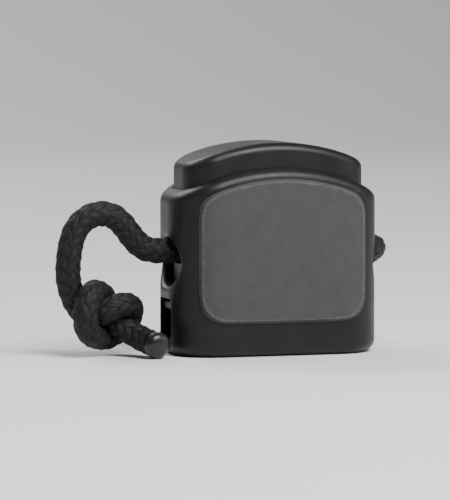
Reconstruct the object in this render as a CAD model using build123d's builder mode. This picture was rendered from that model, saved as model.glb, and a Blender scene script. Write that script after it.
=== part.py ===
from build123d import *
import math
import os

# Cord lock: a sprung push button that grips a 3 mm drawcord. Millimetres, +Z up.
# The origin is the middle of the flat base. X runs along the cord: its loop leaves at -X and its tail at +X.
# -Y is the front face, and the button slides along Z.

# Driving dimensions

# Housing
WIDTH = 25.0
DEPTH = 14.0  # over the raised face pads
RIM_CROWN = 21.7  # top of the arched rim, in the middle
ARCH_DROP = 3.4  # how much lower the arch is at the narrow sides
CORNER = 5.2  # vertical corners, in plan
FACE_BOW = 0.45  # how far the front and back bow out in the middle
WALL = 1.5  # narrow sides
FLOOR = 1.8
FACE_WALL = 1.2  # front and back, without the pads
PAD_RAISE = 0.45
PAD_SIDE_MARGIN = 2.4
PAD_LOW = 3.9
PAD_TOP_MARGIN = 1.2
PAD_CORNER = 3.0
PAD_CHAMFER = 0.36
EDGE_ROUND = 1.3
FOOT_ROUND = 1.5
TRIM_SPARE = 2.0  # how far the outline that trims a body runs past it on each side

# Cord passage
CORD_R = 1.5
HOLE_WIDE = 6.6  # along Y
HOLE_TALL = 5.7  # along Z
HOLE_LOW = 7.9
MOUTH_ROUND = 0.6
CORD_GAP = 0.05  # between the gripped cord and what grips it

# Retention windows, one under each cord hole
WINDOW_WIDE = 4.4
WINDOW_LOW = FLOOR
WINDOW_HIGH = 6.6
WINDOW_CORNER = 0.6

# Button
TRAVEL = 2.8
SLIDE_GAP = 0.15  # on each side, between the button and the housing
BUTTON_RISE = 2.9  # how far the button stands above the rim when it grips the cord
BUTTON_ROUND = 1.1
BUTTON_FOOT_GAP = 0.1  # left under the legs when the button is pressed home
BUTTON_HOLE_TALL = 6.0
LEG = 1.35  # thickness of the legs that carry the lugs
LUG_OUT = 1.15
LUG_TALL = 1.4
LUG_WIDE = 3.6
RIB = 1.5  # wall between the spring pocket and the cored pockets
CORE_CORNER = 1.0
TEETH = 11
TOOTH_PITCH = 1.6
TOOTH_HALF = 0.6
TOOTH_OVER = 0.15  # how far above the hole's floor the grooves start
TOOTH_DEEP = 0.35
TOOTH_REACH = 1.2  # half the length of a groove, along Y

# Spring and its seats
SPRING_R = 2.95  # to the middle of the wire
WIRE_R = 0.3
SPRING_TURNS = 5.5
POCKET_R = 3.7
SEAT_R = 2.3
SEAT_TALL = 1.3
SEAT_TAPER = 8
POCKET_ROOF = 2.3  # between the spring pocket and the cord hole

# Cord. Each route is a list of corners, from the lock outwards.
RUN_SHARE = 0.45  # how much of the shorter run beside a corner its arc takes up
LOOP_ROUTE = [
    (-12.5, 0.0, 12.05),
    (-14.3, 0.0, 12.05),
    (-15.9, -0.1, 12.95),
    (-17.9, -0.25, 15.7),
    (-19.5, -0.4, 16.55),
    (-21.3, -0.5, 16.45),
    (-22.85, -0.6, 15.45),
    (-23.75, -0.6, 13.8),
    (-24.15, -0.45, 11.2),
    (-24.05, 0.1, 8.5),
    (-23.16, 0.75, 5.7),
]
TIP_ROUTE = [(-17.0, -0.6, 2.9), (-15.5, -2.1, 1.9), (-14.7, -5.0, 1.55)]
TAIL_ROUTE = [
    (9.5, 0.0, 12.05),
    (11.4, 0.0, 12.05),
    (13.1, 0.95, 12.0),
    (14.1, 2.6, 11.8),
    (14.25, 4.55, 11.3),
    (14.1, 7.4, 10.2),
    (13.2, 11.1, 8.3),
    (11.0, 15.2, 5.4),
    (7.6, 18.9, 2.9),
    (3.6, 21.4, 1.75),
    (-0.6, 22.7, 1.55),
    (-4.6, 22.9, 1.55),
]
KNOT_CENTRE = (-19.8, 0.0, 4.22)
KNOT_AXIS = (0.9, -0.2, -0.4)
KNOT_R = 4.0
KNOT_LONG = 8.0
KNOT_ROUND = 3.4

# Worked out from them

base_depth = DEPTH - 2 * PAD_RAISE
button_low = FLOOR + TRAVEL + BUTTON_FOOT_GAP
trim_wide = WIDTH + 2 * TRIM_SPARE
cavity_wide = WIDTH - 2 * WALL
cavity_deep = base_depth - 2 * FACE_WALL
hole_high = HOLE_LOW + HOLE_TALL
cord_z = hole_high - CORD_GAP - CORD_R
button_wide = cavity_wide - 2 * SLIDE_GAP
button_deep = cavity_deep - 2 * SLIDE_GAP
button_crown = RIM_CROWN + BUTTON_RISE
button_hole_low = cord_z - CORD_R - CORD_GAP
pocket_top = button_hole_low - POCKET_ROOF
core_wide = button_wide / 2 - LEG - POCKET_R - RIB
core_x = POCKET_R + RIB + core_wide / 2
core_deep = 2 * POCKET_R


def bend_radii(route):
    """One radius for each inner corner of a cord's route: as large as the two runs at the corner allow."""
    corners = [Vector(*point) for point in route]
    radii = []
    for before, corner, after in zip(corners, corners[1:], corners[2:]):
        arriving = corner - before
        leaving = after - corner
        half_turn = math.radians(arriving.get_angle(leaving)) / 2
        radii.append(RUN_SHARE * min(arriving.length, leaving.length) / math.tan(half_turn))
    return radii


def report_tube(name, path, tube):
    """Prints a cord tube's length, its bend radii and its volume against section times length."""
    length = sum(edge.length for edge in path.edges())
    ideal = math.pi * CORD_R**2 * length
    print(name, "length", round(length, 1), "volume / ideal", round(tube.part.volume / ideal, 4))


def plan(width, depth, bow, corner):
    """Plan outline: a rounded rectangle, depth deep in the middle, whose long sides bow outwards."""
    x = width / 2
    y = depth / 2
    with BuildSketch() as outline:
        with BuildLine():
            ThreePointArc((-x, bow - y), (0, -y), (x, bow - y))
            Line((x, bow - y), (x, y - bow))
            ThreePointArc((x, y - bow), (0, y), (-x, y - bow))
            Line((-x, y - bow), (-x, bow - y))
        make_face()
        fillet(outline.vertices(), corner)
    return outline.sketch


def arched(width, low, crown, drop):
    """Front outline: a rectangle from low up to an arch that is crown high in the middle."""
    x = width / 2
    with BuildSketch() as outline:
        with BuildLine():
            Line((-x, low), (x, low))
            Line((x, low), (x, crown - drop))
            ThreePointArc((x, crown - drop), (0, crown), (-x, crown - drop))
            Line((-x, crown - drop), (-x, low))
        make_face()
    return outline.sketch


def drop_at(width):
    """How much lower the arch of the rim is at the sides of an outline of another width."""
    return ARCH_DROP * (width / WIDTH) ** 2


# Face pads: the raised panels on the front and back, made as one block that the housing then swallows

pad_wide = WIDTH - 2 * PAD_SIDE_MARGIN
with BuildPart() as pads:
    with BuildSketch(Plane.XY):
        add(plan(WIDTH, DEPTH, FACE_BOW, CORNER))
    extrude(amount=RIM_CROWN)
    with BuildSketch(Plane.XZ):
        add(arched(pad_wide, PAD_LOW, RIM_CROWN - PAD_TOP_MARGIN, drop_at(pad_wide)))
    extrude(amount=DEPTH, both=True, mode=Mode.INTERSECT)
    fillet(pads.edges().filter_by(Axis.Y), PAD_CORNER)
    pad_rims = pads.faces().sort_by(Axis.Y)[0].edges() + pads.faces().sort_by(Axis.Y)[-1].edges()
    chamfer(pad_rims, PAD_CHAMFER)

# Housing

with BuildPart() as housing:
    with BuildSketch(Plane.XY):
        add(plan(WIDTH, base_depth, FACE_BOW, CORNER))
    extrude(amount=RIM_CROWN)
    with BuildSketch(Plane.XZ):
        add(arched(trim_wide, -TRIM_SPARE, RIM_CROWN, drop_at(trim_wide)))
    extrude(amount=DEPTH, both=True, mode=Mode.INTERSECT)
    fillet(housing.faces().sort_by(Axis.Z)[-1].edges(), EDGE_ROUND)
    fillet(housing.faces().sort_by(Axis.Z)[0].edges(), FOOT_ROUND)
    add(pads.part)
    # cavity for the button, open at the top
    with BuildSketch(Plane.XY.offset(FLOOR)):
        add(plan(cavity_wide, cavity_deep, FACE_BOW, CORNER - WALL))
    extrude(amount=RIM_CROWN, mode=Mode.SUBTRACT)
    # seat that centres the spring
    with BuildSketch(Plane.XY.offset(FLOOR)):
        Circle(SEAT_R)
    extrude(amount=SEAT_TALL, taper=SEAT_TAPER)
    # cord hole through both narrow sides, with rounded mouths
    with BuildSketch(Plane.YZ):
        with Locations((0, HOLE_LOW + HOLE_TALL / 2)):
            SlotOverall(HOLE_WIDE, HOLE_TALL)
    extrude(amount=WIDTH, both=True, mode=Mode.SUBTRACT)
    hole_edges = housing.edges(Select.LAST)
    mouths = [edge for edge in hole_edges if abs(edge.center().X) > WIDTH / 2 - WALL / 2]
    fillet(mouths, MOUTH_ROUND)
    # retention window under each hole
    with BuildSketch(Plane.YZ):
        with Locations((0, (WINDOW_LOW + WINDOW_HIGH) / 2)):
            RectangleRounded(WINDOW_WIDE, WINDOW_HIGH - WINDOW_LOW, WINDOW_CORNER)
    extrude(amount=WIDTH, both=True, mode=Mode.SUBTRACT)

# Push button

with BuildPart() as push_button:
    with BuildSketch(Plane.XY.offset(button_low)):
        add(plan(button_wide, button_deep, FACE_BOW, CORNER - WALL - SLIDE_GAP))
    extrude(amount=button_crown)
    with BuildSketch(Plane.XZ):
        add(arched(trim_wide, -TRIM_SPARE, button_crown, drop_at(trim_wide)))
    extrude(amount=DEPTH, both=True, mode=Mode.INTERSECT)
    fillet(push_button.faces().sort_by(Axis.Z)[-1].edges(), BUTTON_ROUND)
    # cross hole for the cord
    with BuildSketch(Plane.YZ):
        with Locations((0, button_hole_low + BUTTON_HOLE_TALL / 2)):
            SlotOverall(HOLE_WIDE, BUTTON_HOLE_TALL)
    extrude(amount=WIDTH, both=True, mode=Mode.SUBTRACT)
    # grip teeth: grooves across the floor of the hole, under the cord
    with BuildSketch(Plane.XZ):
        with GridLocations(TOOTH_PITCH, 0, TEETH, 1):
            with Locations((0, button_hole_low)):
                Polygon(
                    (-TOOTH_HALF, TOOTH_OVER), (TOOTH_HALF, TOOTH_OVER), (0, -TOOTH_DEEP), align=None
                )
    extrude(amount=TOOTH_REACH, both=True, mode=Mode.SUBTRACT)
    # spring pocket from below, with a pin that centres the spring
    with BuildSketch(Plane.XY.offset(button_low)):
        Circle(POCKET_R)
    extrude(amount=pocket_top - button_low, mode=Mode.SUBTRACT)
    with BuildSketch(Plane.XY.offset(pocket_top)):
        Circle(SEAT_R)
    extrude(amount=-SEAT_TALL, taper=SEAT_TAPER)
    # cored pockets beside it, which leave thin legs that flex as the lugs snap in
    with BuildSketch(Plane.XY.offset(button_low)):
        with GridLocations(2 * core_x, 0, 2, 1):
            RectangleRounded(core_wide, core_deep, CORE_CORNER)
    extrude(amount=pocket_top - button_low, mode=Mode.SUBTRACT)
    # retention lugs: flat on top, sloped below
    with BuildSketch(Plane.XZ):
        Polygon(
            (button_wide / 2 - LEG, button_low),
            (button_wide / 2, button_low),
            (button_wide / 2 + LUG_OUT, button_low + LUG_TALL / 2),
            (button_wide / 2 + LUG_OUT, button_low + LUG_TALL),
            (button_wide / 2 - LEG, button_low + LUG_TALL),
            align=None,
        )
        mirror(about=Plane.YZ)
    extrude(amount=LUG_WIDE / 2, both=True)

# Spring: ground flat at both ends

with BuildPart() as spring:
    with BuildLine() as coil:
        Helix((pocket_top - FLOOR) / SPRING_TURNS, pocket_top - FLOOR, SPRING_R, center=(0, 0, FLOOR))
    with BuildSketch(Plane(origin=coil.line @ 0, z_dir=coil.line % 0)):
        Circle(WIRE_R)
    sweep(is_frenet=True)
    split(bisect_by=Plane.XY.offset(FLOOR), keep=Keep.TOP)
    split(bisect_by=Plane.XY.offset(pocket_top), keep=Keep.BOTTOM)

# Cord: the length that the lock holds, then the loop, the knot with its sealed tip, and the tail

with BuildPart() as cord_in_lock:
    with BuildSketch(Plane(origin=LOOP_ROUTE[0], z_dir=(1, 0, 0))):
        Circle(CORD_R)
    extrude(amount=TAIL_ROUTE[0][0] - LOOP_ROUTE[0][0])

with BuildPart() as cord_loop:
    with BuildLine() as loop_path:
        FilletPolyline(*LOOP_ROUTE, radius=bend_radii(LOOP_ROUTE))
    with BuildSketch(Plane(origin=loop_path.line @ 0, z_dir=loop_path.line % 0)):
        Circle(CORD_R)
    sweep()

with BuildPart() as cord_tip:
    with BuildLine() as tip_path:
        FilletPolyline(*TIP_ROUTE, radius=bend_radii(TIP_ROUTE))
    with BuildSketch(Plane(origin=tip_path.line @ 0, z_dir=tip_path.line % 0)):
        Circle(CORD_R)
    sweep()

with BuildPart() as cord_tail:
    with BuildLine() as tail_path:
        FilletPolyline(*TAIL_ROUTE, radius=bend_radii(TAIL_ROUTE))
    with BuildSketch(Plane(origin=tail_path.line @ 0, z_dir=tail_path.line % 0)):
        Circle(CORD_R)
    sweep()

knot_plane = Plane(origin=KNOT_CENTRE, x_dir=(0, 1, 0), z_dir=KNOT_AXIS)
with BuildPart() as stopper_knot:
    with BuildSketch(knot_plane.offset(-KNOT_LONG / 2)):
        Circle(KNOT_R)
    extrude(amount=KNOT_LONG)
    fillet(stopper_knot.edges().filter_by(GeomType.CIRCLE), KNOT_ROUND)

for name, route, path, tube in (
    ("cord_loop", LOOP_ROUTE, loop_path, cord_loop),
    ("cord_tip", TIP_ROUTE, tip_path, cord_tip),
    ("cord_tail", TAIL_ROUTE, tail_path, cord_tail),
):
    print(name, "bend radii", [round(r, 1) for r in bend_radii(route)])
    report_tube(name, path, tube)

os.makedirs("parts", exist_ok=True)
for name, piece in (
    ("housing", housing),
    ("push_button", push_button),
    ("spring", spring),
    ("cord_in_lock", cord_in_lock),
    ("cord_loop", cord_loop),
    ("stopper_knot", stopper_knot),
    ("cord_tip", cord_tip),
    ("cord_tail", cord_tail),
):
    piece.part.label = name
    export_step(piece.part, f"parts/{name}.step")
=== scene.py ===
import math

import bpy
import numpy as np
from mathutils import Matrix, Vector


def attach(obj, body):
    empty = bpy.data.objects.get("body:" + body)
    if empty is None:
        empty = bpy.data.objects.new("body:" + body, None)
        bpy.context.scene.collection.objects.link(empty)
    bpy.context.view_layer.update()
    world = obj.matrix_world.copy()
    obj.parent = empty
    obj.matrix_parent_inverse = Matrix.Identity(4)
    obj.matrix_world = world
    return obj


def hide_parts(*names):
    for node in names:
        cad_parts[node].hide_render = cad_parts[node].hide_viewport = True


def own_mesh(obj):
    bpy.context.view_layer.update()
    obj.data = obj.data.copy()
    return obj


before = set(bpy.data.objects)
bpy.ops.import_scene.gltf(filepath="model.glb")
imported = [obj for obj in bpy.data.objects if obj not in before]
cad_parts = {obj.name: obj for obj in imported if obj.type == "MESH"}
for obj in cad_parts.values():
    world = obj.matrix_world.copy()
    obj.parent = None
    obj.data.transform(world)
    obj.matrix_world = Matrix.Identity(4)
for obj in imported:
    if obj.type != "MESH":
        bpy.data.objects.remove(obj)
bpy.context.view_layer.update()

# Everything is in metres in the row frame: +X along the cord, -Y out of the front face, +Z up.

MM = 0.001
CORD = 3.0 * MM  # the cord's diameter
EXIT_Z = 12.05 * MM

# The cord's route from the CAD, in millimetres, from the lock outwards at each side

LOOP_ROUTE = [
    (-12.5, 0.0, 12.05),
    (-14.3, 0.0, 12.05),
    (-15.9, -0.1, 12.95),
    (-17.9, -0.25, 15.7),
    (-19.5, -0.4, 16.55),
    (-21.3, -0.5, 16.45),
    (-22.85, -0.6, 15.45),
    (-23.75, -0.6, 13.8),
    (-24.15, -0.45, 11.2),
    (-24.05, 0.1, 8.5),
    (-23.16, 0.75, 5.7),
]
TIP_ROUTE = [(-17.0, -0.6, 2.9), (-15.5, -2.1, 1.9), (-14.7, -5.0, 1.55)]
TAIL_ROUTE = [
    (9.5, 0.0, 12.05),
    (11.4, 0.0, 12.05),
    (13.1, 0.95, 12.0),
    (14.1, 2.6, 11.8),
    (14.25, 4.55, 11.3),
    (14.1, 7.4, 10.2),
    (13.2, 11.1, 8.3),
    (11.0, 15.2, 5.4),
    (7.6, 18.9, 2.9),
    (3.6, 21.4, 1.75),
    (-0.6, 22.7, 1.55),
    (-4.6, 22.9, 1.55),
]
KNOT_CENTRE = (-19.8, 0.0, 4.22)
KNOT_AXIS = (0.9, -0.2, -0.4)
KNOT_ENTRY = -1.25  # where the loop and the tip take over, along that axis, in cord diameters
KNOT_LEAVE = 1.1


# ---------------------------------------------------------------- camera


def look_at(obj, target):
    obj.rotation_mode = "QUATERNION"
    obj.rotation_quaternion = (Vector(target) - obj.location).to_track_quat("-Z", "Y")


def direction(azimuth, elevation):
    """The unit vector from the object towards a viewer at that azimuth and elevation, in degrees."""
    a = math.radians(azimuth)
    e = math.radians(elevation)
    return Vector((math.sin(a) * math.cos(e), -math.cos(a) * math.cos(e), math.sin(e)))


CAMERA_AZIMUTH = -17
CAMERA_ELEVATION = 4
CAMERA_DISTANCE = 0.42
CAMERA_LENS = 260  # millimetres, on a 36 mm sensor
camera_target = Vector((-5.2, 0.0, 12.0)) * MM

camera_data = bpy.data.cameras.new("camera")
camera_data.lens = CAMERA_LENS
camera_data.sensor_width = 36
camera_data.clip_start = 0.01
camera_data.clip_end = 10
camera = bpy.data.objects.new("camera", camera_data)
bpy.context.scene.collection.objects.link(camera)
camera.location = camera_target + direction(CAMERA_AZIMUTH, CAMERA_ELEVATION) * CAMERA_DISTANCE
look_at(camera, camera_target)
bpy.context.scene.camera = camera


# ---------------------------------------------------------------- the cord's line


def route_line(points_mm, name):
    """The points along the smooth NURBS spline that has the route's points as its control points."""
    curve = bpy.data.curves.new(name, "CURVE")
    curve.dimensions = "3D"
    curve.resolution_u = 16
    spline = curve.splines.new("NURBS")
    spline.points.add(len(points_mm) - 1)
    for point, place in zip(spline.points, points_mm):
        point.co = (*(c * MM for c in place), 1)
    spline.order_u = 3
    spline.use_endpoint_u = True
    holder = bpy.data.objects.new(name, curve)
    mesh = bpy.data.meshes.new_from_object(holder)
    line = np.array([v.co for v in mesh.vertices], float)
    bpy.data.meshes.remove(mesh)
    bpy.data.objects.remove(holder)
    bpy.data.curves.remove(curve)
    return line


def along(line):
    """Distance from the start of a line to each of its points."""
    return np.concatenate([[0], np.cumsum(np.linalg.norm(np.diff(line, axis=0), axis=1))])


def evenly(line, step):
    """Points along a line, that step apart."""
    s = along(line)
    at = np.linspace(0, s[-1], max(2, round(s[-1] / step) + 1))
    return np.stack([np.interp(at, s, line[:, k]) for k in range(3)], axis=1)


# Lengths in the knot are in cord diameters

KNOT_LINK = 0.33
KNOT_TOUCHING = 0.86  # between two strands' lines: a soft cord flattens where it presses on itself
KNOT_OTHER_STRAND = 1.5  # how far apart along the cord two points are on different strands
KNOT_ROUNDS = 1500
KNOT_PULL = 0.1  # how far each end moves in one round
KNOT_STIFFNESS = 0.06
KNOT_SETTLES = 6  # times that links and touching strands are mended in one round
KNOT_PUSH = 0.25  # share of an overlap that one mending takes out, on each side


def overhand_knot():
    """An overhand knot pulled tight, along the local X axis and centred on the origin.

    A loose overhand knot, as a polynomial curve, is a chain of short links. Each round pulls its ends
    apart, keeps the links their length, holds touching strands apart, and resists bending a little.
    """
    t = np.linspace(-2.05, 2.05, 400)  # as far as the polynomial's ends run on out of the knot
    loose = np.stack([t**5 / 5 - 2 * t, t**3 - 3 * t, t**4 - 4 * t**2], axis=1)
    p = evenly(loose, KNOT_LINK)
    count = len(p)
    i, j = np.triu_indices(count, math.ceil(KNOT_OTHER_STRAND / KNOT_LINK))
    for _ in range(KNOT_ROUNDS):
        pull = p[-1] - p[0]
        pull *= KNOT_PULL / np.linalg.norm(pull)
        p[0] -= pull
        p[-1] += pull
        p[1:-1] += KNOT_STIFFNESS * ((p[:-2] + p[2:]) / 2 - p[1:-1])
        for _ in range(KNOT_SETTLES):
            apart = p[i] - p[j]
            squared = np.einsum("ij,ij->i", apart, apart)
            near = squared < KNOT_TOUCHING**2
            if near.any():
                gap = np.sqrt(squared[near])
                push = apart[near] * ((KNOT_TOUCHING - gap) / gap * KNOT_PUSH)[:, None]
                for k in range(3):
                    p[:, k] += np.bincount(i[near], push[:, k], count)
                    p[:, k] -= np.bincount(j[near], push[:, k], count)
            for first in (0, 1):
                pairs = (count - first) // 2
                a = p[first : first + 2 * pairs : 2]
                b = p[first + 1 : first + 2 * pairs : 2]
                span = b - a
                size = np.linalg.norm(span, axis=1, keepdims=True)
                fix = span * (0.5 * (size - KNOT_LINK) / size)
                a += fix
                b -= fix
    axis = p[-1] - p[0]
    axis /= np.linalg.norm(axis)
    p -= (p[0] + p[-1]) / 2
    side = np.cross(axis, (0.0, 0.0, 1.0))
    side /= np.linalg.norm(side)
    return p @ np.stack([axis, side, np.cross(axis, side)], axis=1)


def placed_knot():
    """The knot's points in the row frame, in millimetres, from its entry to where the tip leaves it."""
    p = overhand_knot()
    p = p[(p[:, 0] > KNOT_ENTRY) & (p[:, 0] < KNOT_LEAVE)]
    axis = np.array(KNOT_AXIS) / np.linalg.norm(KNOT_AXIS)
    side = np.cross(axis, (0.0, 0.0, 1.0))
    side /= np.linalg.norm(side)
    return np.array(KNOT_CENTRE) + CORD / MM * (p @ np.stack([axis, side, np.cross(side, axis)]))


left_route = LOOP_ROUTE[:-1] + [tuple(p) for p in placed_knot()] + TIP_ROUTE[1:]
left_line = route_line(left_route, "left_route")
tail_line = route_line(TAIL_ROUTE, "tail_route")

# The whole cord, from the knotted end through the lock to the tail's end. Its three pieces meet inside
# the lock's narrow walls.

LINE_STEP = 0.15 * MM
JOIN_X = 11.4 * MM
JOIN_DROP = 0.15 * MM  # how far below its exit the cord may be there; the tail goes back lower down

cord_line = evenly(np.concatenate([left_line[::-1], tail_line]), LINE_STEP)
cord_length = along(cord_line)
cord_step = cord_length[-1] / (len(cord_line) - 1)
in_lock = (np.abs(cord_line[:, 0]) < JOIN_X) & (cord_line[:, 2] > EXIT_Z - JOIN_DROP)
left_join, right_join = (int(k) for k in np.flatnonzero(in_lock)[[0, -1]])
last_point = len(cord_line) - 1


def frames_along(line):
    """Two unit vectors across the line at each of its points, turning with it as little as they can."""
    tangent = np.gradient(line, axis=0)
    tangent /= np.linalg.norm(tangent, axis=1, keepdims=True)
    across = np.empty_like(line)
    last = np.array((0.0, 0.0, 1.0))
    for i, t in enumerate(tangent):
        last = last - t * (last @ t)
        last /= np.linalg.norm(last)
        across[i] = last
    return tangent, across, np.cross(tangent, across)


cord_tangent, cord_across, cord_over = frames_along(cord_line)


def pressing_strands(reach, apart):
    """For each point of the cord's line, every second point of its other strands within reach.

    Another strand is further away than apart along the cord. The rows are padded with -1.
    """
    found = []
    for i, p in enumerate(cord_line):
        gap = np.linalg.norm(cord_line - p, axis=1)
        far_along = np.abs(np.arange(len(cord_line)) - i) * cord_step > apart
        found.append(np.flatnonzero((gap < reach) & far_along)[::2])
    width = max(1, max(len(f) for f in found))
    table = np.full((len(found), width), -1)
    for i, f in enumerate(found):
        table[i, : len(f)] = f
    return table


strands = pressing_strands(reach=1.1 * CORD, apart=1.5 * CORD)
STRAND_GAP = 0.02 * MM  # left between a flattened strand and the plane midway to the next
PRESSINGS = 2  # times that a point is moved clear of every such plane


def cord_surface(s, angle, radius):
    """Points at distance s along the whole cord, at an angle round it, that far from its line.

    Where two strands press on each other both flatten against the plane midway between them.
    """
    at = np.clip(s / cord_step, 0, last_point - 0.001)
    low = at.astype(int)
    part = (at - low)[..., None]
    centre = cord_line[low] * (1 - part) + cord_line[low + 1] * part
    across = cord_across[low] * (1 - part) + cord_across[low + 1] * part
    over = cord_over[low] * (1 - part) + cord_over[low + 1] * part
    out = np.cos(angle)[..., None] * across + np.sin(angle)[..., None] * over
    skin = centre + out * (CORD / 2)
    moved = skin.copy()
    for _ in range(PRESSINGS):
        for column in range(strands.shape[1]):
            other = strands[low, column]
            away = cord_line[other] - centre
            size = np.linalg.norm(away, axis=-1, keepdims=True)
            away /= np.maximum(size, 1e-9)
            depth = np.sum((moved - centre) * away, axis=-1, keepdims=True) - size / 2 + STRAND_GAP
            moved -= away * np.where((other >= 0)[..., None], np.maximum(depth, 0), 0)
    radius = np.asarray(radius)[..., None]
    return centre + out * radius + (moved - skin) * radius / (CORD / 2)


# ---------------------------------------------------------------- meshes


def new_mesh(name, vertices, faces):
    mesh = bpy.data.meshes.new(name)
    mesh.from_pydata([tuple(v) for v in vertices], [], [tuple(f) for f in faces])
    mesh.validate()
    mesh.update()
    mesh.polygons.foreach_set("use_smooth", np.ones(len(mesh.polygons), bool))
    obj = bpy.data.objects.new(name, mesh)
    bpy.context.scene.collection.objects.link(obj)
    return obj


class Builder:
    """Vertices and faces of one mesh, added tube by tube, with three numbers kept at each vertex."""

    def __init__(self):
        self.vertices = []
        self.faces = []
        self.materials = []
        self.notes = []
        self.count = 0

    def tube(self, rings, notes, material=0):
        """A closed tube through rings of points, an array of rings by points by three."""
        number, size, _ = rings.shape
        index = self.count + np.arange(number * size).reshape(number, size)
        beside = np.roll(index, -1, axis=1)
        quads = np.stack([index[:-1], beside[:-1], beside[1:], index[1:]], axis=-1).reshape(-1, 4)
        self.faces.extend(quads.tolist())
        self.faces.append(index[0][::-1].tolist())
        self.faces.append(index[-1].tolist())
        self.materials.extend([material] * (len(quads) + 2))
        self.vertices.append(rings.reshape(-1, 3))
        self.notes.append(notes.reshape(-1, 3))
        self.count += number * size

    def object(self, name, materials):
        obj = new_mesh(name, np.concatenate(self.vertices), self.faces)
        obj.data.polygons.foreach_set("material_index", np.array(self.materials, np.int32))
        notes = obj.data.attributes.new("yarn", "FLOAT_VECTOR", "POINT")
        notes.data.foreach_set("vector", np.concatenate(self.notes).astype(np.float32).ravel())
        for material in materials:
            obj.data.materials.append(material)
        return obj


# ---------------------------------------------------------------- the braided cord

CARRIERS = 8  # yarns each way
PITCH = 11.0 * MM  # one turn of a yarn
YARN_RADIUS = 1.23 * MM  # the yarns' mean distance from the cord's line
YARN_WAVE = 0.12 * MM  # how far a yarn goes out and in as it passes over and under
YARN_THICK = 0.17 * MM
YARN_HALF_WIDTH = 0.45 * MM
YARN_STEP = 0.2 * MM
YARN_FLATNESS = 1.35  # above 1, a yarn stays flat for longer as it passes over or under
PLIES = 3  # strands side by side in each yarn
TENSION_SPREAD = 0.07  # how much a yarn's width and thickness vary
TENSION_WAVE = 23 * MM
TURN_SPREAD = 0.035  # how far a yarn strays round the cord, in radians
TURN_WAVE = 17 * MM
BRAID_ANGLE = math.atan(2 * math.pi * YARN_RADIUS / PITCH)
CORE_RADIUS = 1.1 * MM
CORE_SIDES = 14
RIDGE_DEPTH = 0.3  # between the plies, in yarn thicknesses
UNDERSIDE = -0.7


def yarn_section():
    """The yarn's section: from edge to edge over its ridged top, then back underneath.

    Across is in half widths, and out from the cord in thicknesses.
    """
    across = np.linspace(-1, 1, 4 * PLIES + 1)
    crown = 1.05 * np.cos(across * 1.25) - 0.1  # from 0.23 at the edges to 0.95 in the middle
    ridges = (1 - np.cos(math.pi * PLIES * across)) / 2
    top = np.stack([across, crown - RIDGE_DEPTH * ridges], axis=1)
    return np.concatenate([top, [(0.0, UNDERSIDE)]])


SECTION = yarn_section()


def wander(random, s, wavelength):
    """A smooth irregular wave from -1 to 1 along the cord."""
    waves = [
        np.sin(2 * math.pi * s / (wavelength * share) + random.uniform(0, 6.3))
        for share in (1.0, 0.61, 0.37)
    ]
    return sum(waves) / len(waves)


def add_yarn(build, hand, number, first, last):
    """One flat yarn of the braid, winding to one hand, over two and under two of the others."""
    count = max(4, int((last - first) / YARN_STEP))
    s = np.linspace(first, last, count)
    crossing = 2 * CARRIERS * s / PITCH
    turn = 2 * math.pi * (number / CARRIERS + hand * s / PITCH)
    wave = hand * np.cos(math.pi / 2 * (2 * number + hand * crossing - 0.5))
    wave = np.clip(wave * YARN_FLATNESS, -1, 1)  # 1 where it passes over, -1 where it passes under
    random = np.random.default_rng(40 + number + 20 * (hand > 0))
    tension = 1 + TENSION_SPREAD * wander(random, s, TENSION_WAVE)[:, None]
    turn = turn + TURN_SPREAD * wander(random, s, TURN_WAVE)
    across = SECTION[None, :, 0] * YARN_HALF_WIDTH * tension
    out = SECTION[None, :, 1] * YARN_THICK * (2 - tension)
    angle = turn[:, None] + across * math.cos(BRAID_ANGLE) / YARN_RADIUS
    place = np.clip(s[:, None] - hand * across * math.sin(BRAID_ANGLE), first, last)
    radius = YARN_RADIUS + wave[:, None] * YARN_WAVE + out
    rings = cord_surface(place, angle, radius)
    mark = (number + 10 * (hand > 0)) / 20  # differs from yarn to yarn
    notes = np.stack(np.broadcast_arrays(across / MM, s[:, None] / MM, mark), axis=-1)
    if hand < 0:
        rings = rings[:, ::-1]
        notes = notes[:, ::-1]
    build.tube(rings, notes)


def add_core(build, first, last):
    """The dark core under the yarns, which closes the gaps between them."""
    s = np.linspace(first, last, max(4, int((last - first) / YARN_STEP)))
    angle = np.linspace(0, 2 * math.pi, CORE_SIDES, endpoint=False)
    s, angle = np.broadcast_arrays(s[:, None], angle[None, :])
    rings = cord_surface(s, angle, np.full(s.shape, CORE_RADIUS))
    build.tube(rings[:, ::-1], np.stack([0 * s, s / MM, 0 * s + 0.5], axis=-1))


# The melted bead's outline in millimetres: how far past the cord's end, and the radius there
BEAD = [
    (-1.0, 1.36),
    (-0.75, 1.5),
    (-0.35, 1.56),
    (0.05, 1.53),
    (0.4, 1.36),
    (0.62, 1.05),
    (0.74, 0.6),
    (0.78, 0.15),
]
BEAD_SIDES = 24
BEAD_LUMPS = (0.01, 0.04)  # least and most height of one lump, as a share of the radius
BEAD_LEAN = 0.12  # at most, per millimetre past the cord's end


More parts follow.
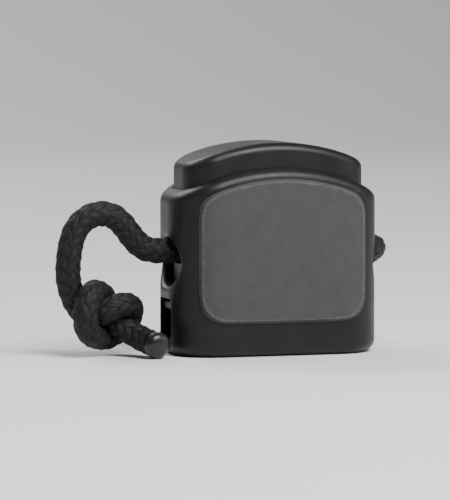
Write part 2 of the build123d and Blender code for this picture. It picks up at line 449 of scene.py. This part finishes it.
def add_melted_end(build, end, seed):
    """The heat-sealed end of the cord: its yarns melted together into a small uneven bead."""
    random = np.random.default_rng(seed)
    centre = cord_line[end]
    out = cord_tangent[end] * (1 if end > 0 else -1)
    across = cord_across[end]
    over = np.cross(out, across)
    angle = np.linspace(0, 2 * math.pi, BEAD_SIDES, endpoint=False)
    circle = np.cos(angle)[:, None] * across + np.sin(angle)[:, None] * over
    lumps = sum(
        random.uniform(*BEAD_LUMPS) * np.cos(k * angle + random.uniform(0, 6)) for k in (2, 3, 5)
    )
    lean = random.uniform(-BEAD_LEAN, BEAD_LEAN, 2)
    rings = []
    for away, radius in BEAD:
        shift = max(away, 0) * (lean[0] * across + lean[1] * over)
        ring = (radius * (1 + lumps))[:, None] * circle
        rings.append(centre + (away * out + shift + ring) * MM)
    rings = np.array(rings)
    rings[..., 2] = np.maximum(rings[..., 2], 0)  # the bead flattens where it rests
    build.tube(rings, np.zeros(rings.shape), material=1)


def braided_cord(name, start, stop, materials, melted_ends=()):
    """The cord between two points of its line, with a bead on each melted end, a point and a seed."""
    build = Builder()
    first = cord_length[start]
    last = cord_length[stop]
    add_core(build, first, last)
    for hand in (1, -1):
        for number in range(CARRIERS):
            add_yarn(build, hand, number, first, last)
    for end, seed in melted_ends:
        add_melted_end(build, end, seed)
    return build.object(name, materials)


# ---------------------------------------------------------------- materials

# The housing's shape in millimetres, which its material follows

HALF_WIDTH = 12.5
RIM_CROWN = 21.7
ARCH_DROP = 3.4
PAD_HALF_WIDTH = 10.1
PAD_LOW = 3.9
PAD_CROWN = 20.5
# the pad's finish here includes its grey colour, which is partly painted sheen
PAD_DEPTH = (5.2, 5.6)  # from the middle plane outwards, the pad's finish starts between these
RIM_ARCH = (HALF_WIDTH**2 + ARCH_DROP**2) / (2 * ARCH_DROP)  # the arch's radius
ARCH_CENTRE = RIM_CROWN - RIM_ARCH
PAD_ARCH = PAD_CROWN - ARCH_CENTRE
SQUARE_CORNER = 5.27  # the reach of a smooth minimum that follows a 3 mm fillet in a square corner
ARCH_CORNER = 2.78  # the same for the corners under the arch

# Each colour is one linear RGB, or the two ends of a mottled range

# the pads' grey is partly their etched finish and partly painted sheen for the soft highlight on the
# front faces
PAD_GREY_AND_SHEEN = ((0.044, 0.0453, 0.0458), (0.051, 0.0523, 0.0528))
PAD_FLECK = (0.071, 0.072, 0.073)
# paler pad edges: partly rubbed wear, partly a painted edge highlight
PAD_RIM_WEAR_AND_HIGHLIGHT = (0.1, 0.101, 0.102)
HOUSING_BLACK = ((0.0085, 0.0088, 0.009), (0.0115, 0.0118, 0.012))
HOUSING_SCUFF = (0.09, 0.091, 0.092)
BUTTON_BLACK = ((0.0075, 0.0077, 0.008), (0.0105, 0.0107, 0.011))
BUTTON_FLECK = (0.025, 0.0253, 0.0257)
BUTTON_SCUFF = (0.07, 0.071, 0.072)
YARN_BLACK = ((0.004, 0.004, 0.0042), (0.0125, 0.0125, 0.013))
MELTED_BLACK = (0.008, 0.008, 0.0085)
STEEL_GREY = ((0.42, 0.42, 0.43), (0.56, 0.56, 0.57))
FLOOR_WHITE = ((0.74, 0.735, 0.725), (0.77, 0.765, 0.755))
MOTTLE = (0.3, 0.7)  # the part of a noise that a mottled range spreads over
PLASTIC_SPECULAR = 0.25
YARN_SPECULAR = 0.25


class Nodes:
    """Short words for building one node material."""

    def __init__(self, name):
        self.material = bpy.data.materials.new(name)
        self.material.use_nodes = True
        self.tree = self.material.node_tree
        self.shader = self.tree.nodes["Principled BSDF"]

    def add(self, kind, **settings):
        node = self.tree.nodes.new(kind)
        for key, value in settings.items():
            setattr(node, key, value)
        return node

    def link(self, a, b):
        self.tree.links.new(a, b)

    def put(self, socket, value):
        if isinstance(value, bpy.types.NodeSocket):
            self.link(value, socket)
        else:
            socket.default_value = value

    def math(self, operation, *values):
        node = self.add("ShaderNodeMath", operation=operation)
        for socket, value in zip(node.inputs, values):
            self.put(socket, value)
        return node.outputs[0]

    def times(self, a, b):
        return self.math("MULTIPLY", a, b)

    def less(self, a, b):
        return self.math("SUBTRACT", a, b)

    def size(self, a):
        return self.math("ABSOLUTE", a)

    def position(self):
        return self.add("ShaderNodeTexCoord").outputs["Object"]

    def millimetres(self):
        node = self.add("ShaderNodeVectorMath", operation="SCALE")
        self.link(self.position(), node.inputs[0])
        node.inputs["Scale"].default_value = 1 / MM
        return node.outputs[0]

    def split(self, vector):
        node = self.add("ShaderNodeSeparateXYZ")
        self.link(vector, node.inputs[0])
        return node.outputs

    def joined(self, x, y, z):
        node = self.add("ShaderNodeCombineXYZ")
        for socket, value in zip(node.inputs, (x, y, z)):
            self.put(socket, value)
        return node.outputs[0]

    def length(self, vector):
        node = self.add("ShaderNodeVectorMath", operation="LENGTH")
        self.link(vector, node.inputs[0])
        return node.outputs["Value"]

    def noise(self, where, scale, detail=3.0, roughness=0.5):
        node = self.add("ShaderNodeTexNoise")
        self.link(where, node.inputs["Vector"])
        node.inputs["Scale"].default_value = scale
        node.inputs["Detail"].default_value = detail
        node.inputs["Roughness"].default_value = roughness
        return node.outputs["Fac"]

    def ramp(self, value, low, high, low_out=0.0, high_out=1.0):
        node = self.add("ShaderNodeMapRange", interpolation_type="SMOOTHSTEP")
        self.put(node.inputs["Value"], value)
        node.inputs["From Min"].default_value = low
        node.inputs["From Max"].default_value = high
        node.inputs["To Min"].default_value = low_out
        node.inputs["To Max"].default_value = high_out
        return node.outputs[0]

    def below(self, value, full, none):
        """1 up to full, then falling to 0 at none."""
        return self.ramp(value, full, none, 1.0, 0.0)

    def mix_value(self, share, a, b):
        node = self.add("ShaderNodeMix", data_type="FLOAT")
        self.put(node.inputs["Factor"], share)
        self.put(node.inputs[2], a)
        self.put(node.inputs[3], b)
        return node.outputs[0]

    def mix(self, share, a, b):
        node = self.add("ShaderNodeMix", data_type="RGBA")
        self.put(node.inputs["Factor"], share)
        for socket, colour in ((node.inputs[6], a), (node.inputs[7], b)):
            self.put(socket, colour if isinstance(colour, bpy.types.NodeSocket) else (*colour, 1))
        return node.outputs[2]

    def bump(self, height, distance, normal=None):
        node = self.add("ShaderNodeBump")
        self.link(height, node.inputs["Height"])
        node.inputs["Distance"].default_value = distance
        node.inputs["Strength"].default_value = 1.0
        if normal is not None:
            self.link(normal, node.inputs["Normal"])
        return node.outputs[0]

    def scuffs(self, where, scale):
        """Sparse fine curved marks: one noise's contour lines, where another noise lets them show."""
        lines = self.noise(where, scale, 1, 0.4)
        patches = self.noise(where, scale * 2.3, 2, 0.5)
        line = self.below(self.size(self.less(lines, 0.52)), 0.001, 0.005)
        return self.times(line, self.ramp(patches, 0.58, 0.68))

    def set(self, **values):
        """Puts a value or a node's output into each of the shader's inputs, and gives the material."""
        for key, value in values.items():
            self.put(self.shader.inputs[key.replace("_", " ")], value)
        return self.material


def pad_inset(n, x, z):
    """How far a point of the face is inside the pad's outline, in millimetres, negative outside it."""
    side = n.less(PAD_HALF_WIDTH, n.size(x))
    arch = n.less(PAD_ARCH, n.length(n.joined(x, 0.0, n.less(z, ARCH_CENTRE))))
    low = n.less(z, PAD_LOW)
    square = n.math("SMOOTH_MIN", side, low, SQUARE_CORNER)
    return n.math("SMOOTH_MIN", square, arch, ARCH_CORNER)


def housing_material():
    """Black moulded plastic. The raised pads have a coarser etched grain, and their grey colour is partly
    that grain and partly painted sheen standing in for the soft highlight on the front faces.
    """
    n = Nodes("housing_plastic")
    where = n.millimetres()
    x, y, z = n.split(where)
    inset = pad_inset(n, x, z)
    faces = n.ramp(n.size(y), *PAD_DEPTH)
    pad = n.times(n.ramp(inset, -0.04, 0.06), faces)
    clouds = n.noise(where, 0.45, 5, 0.6)
    mottle = n.ramp(clouds, *MOTTLE)
    flecks = n.noise(where, 2.2, 4, 0.65)

    # painted sheen: the pads are coloured grey, partly for their etched grain and partly to stand in for
    # the soft highlight the front faces catch
    grey = n.mix(n.times(n.ramp(flecks, 0.56, 0.72), 0.35), n.mix(mottle, *PAD_GREY_AND_SHEEN), PAD_FLECK)
    base = n.mix(pad, n.mix(mottle, *HOUSING_BLACK), grey)
    # the pads' edges are painted a little paler, partly rubbed wear and partly a painted edge highlight,
    # more in some places than in others
    rim_wear_and_highlight = n.times(n.below(inset, 0.38, 0.56), n.times(n.ramp(inset, 0.2, 0.34), faces))
    base = n.mix(n.times(rim_wear_and_highlight, n.ramp(flecks, 0.4, 0.6, 0.1, 0.8)), base, PAD_RIM_WEAR_AND_HIGHLIGHT)
    base = n.mix(n.times(n.scuffs(where, 0.33), 0.3), base, HOUSING_SCUFF)

    black_gloss = n.ramp(clouds, *MOTTLE, 0.34, 0.42)
    gloss = n.mix_value(pad, black_gloss, n.ramp(flecks, *MOTTLE, 0.52, 0.62))

    # the etched grain on the pads, a finer one everywhere, and the mould's parting line down the sides
    grain = n.times(n.noise(where, 7.5, 2, 0.55), pad)
    fine = n.times(n.noise(where, 16.0, 2, 0.6), 0.4)
    seam = n.times(n.below(n.size(y), 0.03, 0.09), n.ramp(n.size(x), 12.2, 12.4))
    normal = n.bump(n.math("ADD", grain, fine), 0.035 * MM)
    normal = n.bump(seam, 0.03 * MM, normal)
    n.set(Base_Color=base, Roughness=gloss, Normal=normal)
    return n.set(Specular_IOR_Level=PLASTIC_SPECULAR)


def button_material():
    """Black moulded plastic, satin, and polished by the thumb in the middle of its top."""
    n = Nodes("button_plastic")
    where = n.millimetres()
    x, _, z = n.split(where)
    clouds = n.noise(where, 0.5, 5, 0.6)
    flecks = n.noise(where, 2.6, 4, 0.65)
    thumb = n.times(n.below(n.size(x), 3.0, 9.5), n.ramp(z, 22.5, 24.2))
    base = n.mix(n.ramp(clouds, *MOTTLE), *BUTTON_BLACK)
    base = n.mix(n.times(n.ramp(flecks, 0.58, 0.72), 0.3), base, BUTTON_FLECK)
    base = n.mix(n.times(n.scuffs(where, 0.41), 0.25), base, BUTTON_SCUFF)
    gloss = n.less(n.ramp(clouds, *MOTTLE, 0.38, 0.46), n.times(thumb, 0.08))
    fine = n.noise(where, 14.0, 2, 0.6)
    n.set(Base_Color=base, Roughness=gloss, Normal=n.bump(fine, 0.012 * MM))
    return n.set(Specular_IOR_Level=PLASTIC_SPECULAR)


def yarn_material():
    """Black polyester yarn: fine filaments along each yarn, and yarns that differ a little."""
    n = Nodes("yarn")
    notes = n.add("ShaderNodeAttribute", attribute_name="yarn").outputs["Vector"]
    across, distance, mark = n.split(notes)
    where = n.joined(n.times(across, 16.0), n.times(distance, 0.9), n.times(mark, 40.0))
    filaments = n.noise(where, 1.0, 3, 0.6)
    return n.set(
        Base_Color=n.mix(n.ramp(filaments, 0.3, 0.75), *YARN_BLACK),
        Roughness=0.62,
        Normal=n.bump(filaments, 0.03 * MM),
        Specular_IOR_Level=YARN_SPECULAR,
        Sheen_Weight=0.04,
        Sheen_Roughness=0.4,
    )


def melted_material():
    """The same yarn, melted: darker, smooth and uneven."""
    n = Nodes("melted_yarn")
    lumps = n.noise(n.position(), 900, 3)
    return n.set(Base_Color=(*MELTED_BLACK, 1), Roughness=0.32, Normal=n.bump(lumps, 0.12 * MM))


def steel_material():
    """Bright drawn wire, with fine marks."""
    n = Nodes("spring_steel")
    marks = n.noise(n.position(), 2600, 2)
    return n.set(
        Base_Color=n.mix(marks, *STEEL_GREY),
        Roughness=n.math("ADD", n.times(marks, 0.2), 0.2),
        Normal=n.bump(marks, 0.006 * MM),
        Metallic=1.0,
    )


def floor_material():
    """Matt off-white, a little uneven."""
    n = Nodes("floor")
    tone = n.noise(n.position(), 3, 2)
    return n.set(Base_Color=n.mix(tone, *FLOOR_WHITE), Roughness=0.75)


def use_material(obj, material):
    obj.data.materials.clear()
    obj.data.materials.append(material)


use_material(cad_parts["housing"], housing_material())
use_material(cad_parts["push_button"], button_material())


# ---------------------------------------------------------------- the cord's three pieces

cord_materials = (yarn_material(), melted_material())

left_cord = braided_cord("knotted_loop", 0, left_join, cord_materials, melted_ends=[(0, 3)])
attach(left_cord, "housing")
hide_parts("cord_loop", "stopper_knot", "cord_tip")

held_cord = braided_cord("held_cord", left_join, right_join, cord_materials)
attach(held_cord, "housing")
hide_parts("cord_in_lock")

tail_cord = braided_cord(
    "tail_cord", right_join, last_point, cord_materials, melted_ends=[(last_point, 8)]
)
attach(tail_cord, "housing")
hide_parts("cord_tail")


# ---------------------------------------------------------------- the spring

SPRING_LOW = 1.8 * MM  # its two seats, with the button at rest
SPRING_HIGH = 8.2 * MM
WIRE = 0.6 * MM
WIRE_SIDES = 16
COIL_RADIUS = 2.95 * MM
COILS = 5.5
END_COILS = 1.0  # closed against their neighbours, at each end
END_HEIGHT = 0.1 * MM  # of the wire's middle above its seat, so that the end is ground flat there
END_PITCH = 0.85 * WIRE  # how far an end coil climbs in one turn
TURN_POINTS = 48
BLEND_POINTS = 12  # on each side of a change of pitch


def compression_spring(name):
    """A compression spring with closed end coils, ground flat where they bear on their seats."""
    low = SPRING_LOW + END_HEIGHT
    high = SPRING_HIGH - END_HEIGHT
    turns = (0, END_COILS, COILS - END_COILS, COILS)
    heights = (low, low + END_PITCH, high - END_PITCH, high)
    t = np.linspace(0, COILS, int(COILS * TURN_POINTS))
    kernel = np.hanning(2 * BLEND_POINTS + 1)
    stepped = np.pad(np.interp(t, turns, heights), BLEND_POINTS, mode="reflect", reflect_type="odd")
    z = np.convolve(stepped, kernel / kernel.sum(), mode="valid")
    a = 2 * math.pi * t
    line = np.stack([COIL_RADIUS * np.cos(a), COIL_RADIUS * np.sin(a), z], axis=1)
    _, across, over = frames_along(line)
    angle = np.linspace(0, 2 * math.pi, WIRE_SIDES, endpoint=False)[None, :, None]
    circle = np.cos(angle) * across[:, None] + np.sin(angle) * over[:, None]
    rings = line[:, None] + WIRE / 2 * circle
    rings[..., 2] = np.clip(rings[..., 2], SPRING_LOW, SPRING_HIGH)
    build = Builder()
    build.tube(rings[:, ::-1], np.zeros(rings.shape))
    return build.object(name, (steel_material(),))


spring = compression_spring("coil_spring")
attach(spring, "housing")
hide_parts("spring")
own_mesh(spring)


# ---------------------------------------------------------------- stage and light

FLOOR_FRONT = -1.6  # metres
FLOOR_BACK = 0.55  # where the floor starts to curve up
FLOOR_CURVE = 0.35
FLOOR_TOP = 1.8
FLOOR_HALF_WIDTH = 2.2

LIGHT_TARGET = (0, 0, 0.012)
LIGHTS = [  # name, place and size in metres, watts
    ("key", (0.06, -0.22, 0.30), (0.2, 0.2), 2.3),
    ("fill", (0.65, -0.3, 0.3), (0.4, 0.4), 1.6),
    ("back", (-0.25, 0.5, 0.5), (0.6, 0.3), 4.0),
]
SKY = (0.92, 0.94, 0.96, 1)
SKY_STRENGTH = 0.16


def seamless_floor():
    """A floor that curves up into a backdrop behind the object."""
    turn = np.linspace(0, math.pi / 2, 24)
    profile = [(FLOOR_FRONT, 0.0)]
    profile += [
        (FLOOR_BACK + FLOOR_CURVE * math.sin(a), FLOOR_CURVE * (1 - math.cos(a))) for a in turn
    ]
    profile.append((FLOOR_BACK + FLOOR_CURVE, FLOOR_TOP))
    vertices = [(x, y, z) for y, z in profile for x in (-FLOOR_HALF_WIDTH, FLOOR_HALF_WIDTH)]
    faces = [(2 * k, 2 * k + 1, 2 * k + 3, 2 * k + 2) for k in range(len(profile) - 1)]
    floor = new_mesh("floor", vertices, faces)
    floor.data.materials.append(floor_material())


def area_light(name, place, size, watts):
    data = bpy.data.lights.new(name, "AREA")
    data.shape = "RECTANGLE"
    data.size, data.size_y = size
    data.energy = watts
    light = bpy.data.objects.new(name, data)
    light.location = place
    look_at(light, LIGHT_TARGET)
    bpy.context.scene.collection.objects.link(light)


seamless_floor()
for light in LIGHTS:
    area_light(*light)

world = bpy.data.worlds.new("world")
world.use_nodes = True
sky = world.node_tree.nodes["Background"]
sky.inputs["Color"].default_value = SKY
sky.inputs["Strength"].default_value = SKY_STRENGTH
bpy.context.scene.world = world
